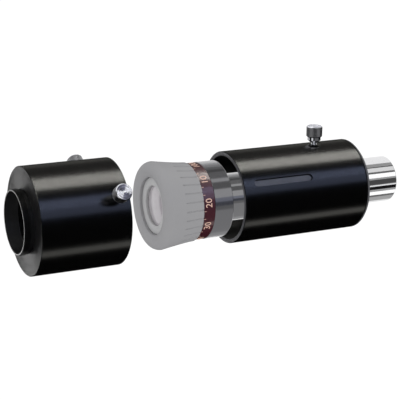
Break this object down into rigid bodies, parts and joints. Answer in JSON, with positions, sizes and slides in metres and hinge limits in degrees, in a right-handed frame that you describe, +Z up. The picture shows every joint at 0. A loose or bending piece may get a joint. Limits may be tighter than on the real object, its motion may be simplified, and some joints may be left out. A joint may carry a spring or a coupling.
{
  "type": "variable projection adapter",
  "caption": "Telescoping black tube and sleeve that hold an eyepiece between a camera thread and a push-fit nosepiece, with knurled thumbscrews.",
  "frame": {"origin": "on the optical axis at the rear face of the projection tube, where the nosepiece's shoulder seats", "axes": "+X along the optical axis towards the nosepiece's free end, +Z up through the tube's thumbscrew"},
  "size_m": [0.2754, 0.0906, 0.078],
  "materials": {
    "black_anodised": "gloss black anodised",
    "black_satin": "satin black anodised",
    "polished_chrome": "mirror polished chrome plate",
    "screw_chrome": "knurled and turned chrome plate",
    "white_nylon": "natural nylon",
    "grey_rubber": "matte grey rubber",
    "maroon_lacquer": "dark red anodised",
    "satin_chrome": "satin silver anodised",
    "coated_glass": "coated optical glass"
  },
  "bodies": {
    "tube": {"projection_tube": "black_anodised", "eyepiece_holder": "black_satin", "nosepiece": "polished_chrome"},
    "tube_tip": {"tube_screw_tip": "white_nylon"},
    "tube_screw": {"tube_thumbscrew": "screw_chrome"},
    "eyepiece": {"eyecup": "grey_rubber", "label_ring": "maroon_lacquer", "eyepiece_body": "satin_chrome", "eyepiece_barrel": "polished_chrome", "field_stop": "black_satin", "eye_lens_retainer": "grey_rubber", "eye_crown_lens": "coated_glass", "eye_flint_lens": "coated_glass", "lens_spacer": "black_satin", "field_flint_lens": "coated_glass", "field_crown_lens": "coated_glass"},
    "sleeve": {"camera_sleeve": "black_anodised", "camera_thread_ring": "black_satin"},
    "front_tip": {"front_screw_tip": "white_nylon"},
    "front_screw": {"front_thumbscrew": "screw_chrome"},
    "back_tip": {"back_screw_tip": "white_nylon"},
    "back_screw": {"back_thumbscrew": "screw_chrome"}
  },
  "joints": [
    {"name": "eyepiece_slide", "type": "slide", "parent": "tube", "child": "eyepiece", "axis": [1, 0, 0], "range_m": [0, 0.0388]},
    {"name": "sleeve_slide", "type": "slide", "parent": "eyepiece", "child": "sleeve", "axis": [1, 0, 0], "range_m": [0, 0.0797]},
    {"name": "tube_tip_slide", "type": "slide", "parent": "tube", "child": "tube_tip", "axis": [0, 0, -1], "range_m": [-0.00211, 0.0011]},
    {"name": "tube_screw_turn", "type": "hinge", "parent": "tube_tip", "child": "tube_screw", "pos_m": [-0.028, 0, 0.0323], "axis": [0, 0, -1], "range_deg": [-1080, 560]},
    {"name": "front_tip_slide", "type": "slide", "parent": "sleeve", "child": "front_tip", "axis": [0, 0.866, -0.5], "range_m": [-0.00211, 0.0019]},
    {"name": "front_screw_turn", "type": "hinge", "parent": "front_tip", "child": "front_screw", "pos_m": [-0.187, -0.03334, 0.01925], "axis": [0, 0.866, -0.5], "range_deg": [-1080, 970]},
    {"name": "back_tip_slide", "type": "slide", "parent": "sleeve", "child": "back_tip", "axis": [0, -0.866, -0.5], "range_m": [-0.00211, 0.00071]},
    {"name": "back_screw_turn", "type": "hinge", "parent": "back_tip", "child": "back_screw", "pos_m": [-0.187, 0.03334, 0.01925], "axis": [0, -0.866, -0.5], "range_deg": [-1080, 360]}
  ],
  "couplings": [
    {"joint": "tube_tip_slide", "follows": "tube_screw_turn", "m_per_rad": 0.00011141},
    {"joint": "front_tip_slide", "follows": "front_screw_turn", "m_per_rad": 0.00011141},
    {"joint": "back_tip_slide", "follows": "back_screw_turn", "m_per_rad": 0.00011141}
  ]
}
